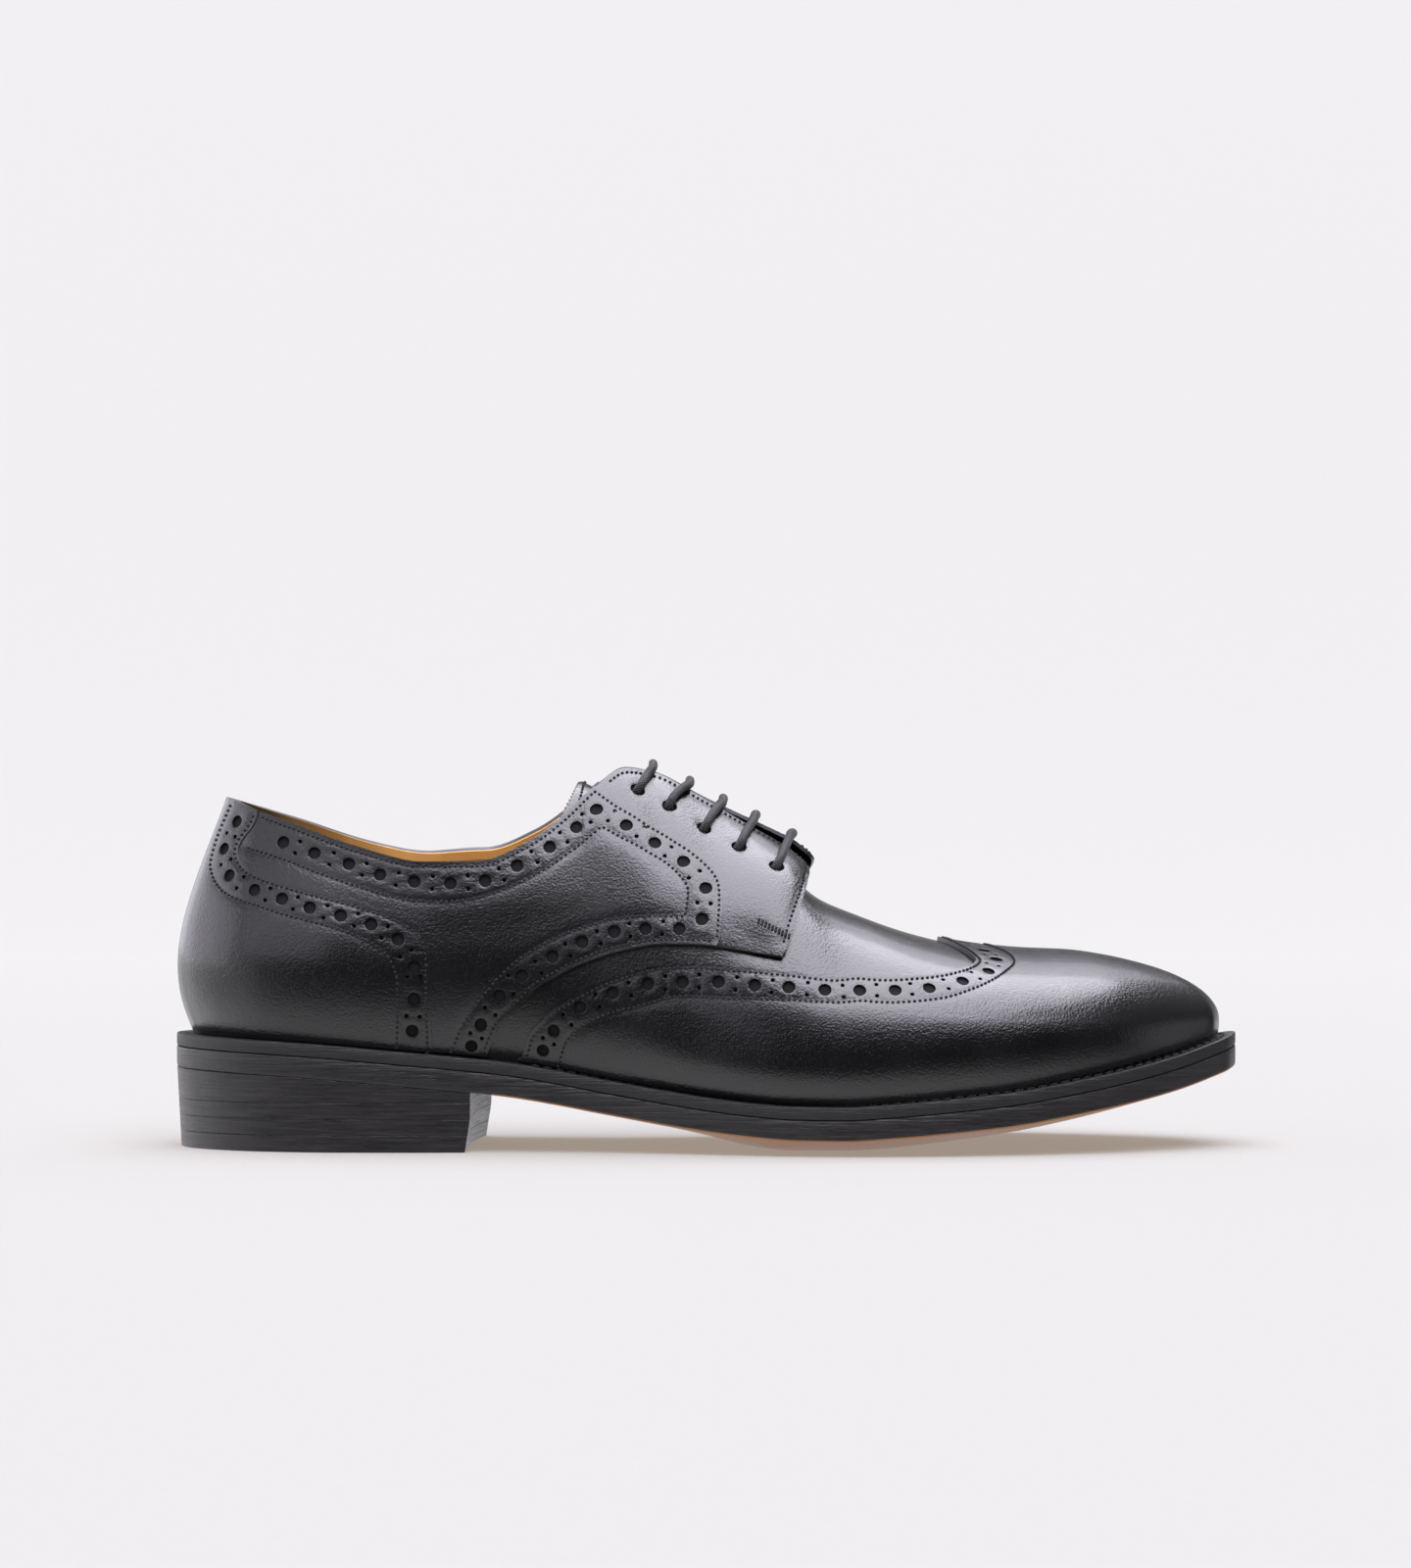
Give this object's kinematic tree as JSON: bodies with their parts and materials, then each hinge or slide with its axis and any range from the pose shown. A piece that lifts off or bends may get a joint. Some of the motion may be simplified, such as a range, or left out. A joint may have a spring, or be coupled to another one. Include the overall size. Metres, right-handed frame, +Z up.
{
  "type": "wingtip derby shoe",
  "caption": "Black calf wingtip derby shoe with open lacing, punched overlays, stitched welt, leather outsole and stacked heel, for the right foot.",
  "frame": {"origin": "centre of the bounding box in plan, on the floor that the sole stands on", "axes": "+X to the toe, -Y to the outer side of the right foot, +Z up"},
  "size_m": [0.3, 0.1024, 0.1097],
  "materials": {
    "black_calf": "polished black calf, fine grain, soft gloss",
    "black_edge": "black dressed leather edge, satin",
    "tan_sole_leather": "natural tan leather, matt",
    "waxed_lace": "round waxed cotton braid, black"
  },
  "bodies": {
    "root": {"outsole": "tan_sole_leather", "insole": "tan_sole_leather", "welt": "black_edge", "top_lift": "black_edge", "heel_lift_1": "black_edge", "heel_lift_2": "black_edge", "heel_lift_3": "black_edge", "upper": "black_calf", "wing_cap": "black_calf", "counter": "black_calf", "quarter_lateral": "black_calf", "quarter_medial": "black_calf", "facing_lateral": "black_calf", "facing_medial": "black_calf", "tongue": "black_calf", "lace_bar_1": "waxed_lace", "lace_bar_2": "waxed_lace", "lace_bar_3": "waxed_lace", "lace_bar_4": "waxed_lace", "lace_bar_5": "waxed_lace"}
  },
  "joints": []
}
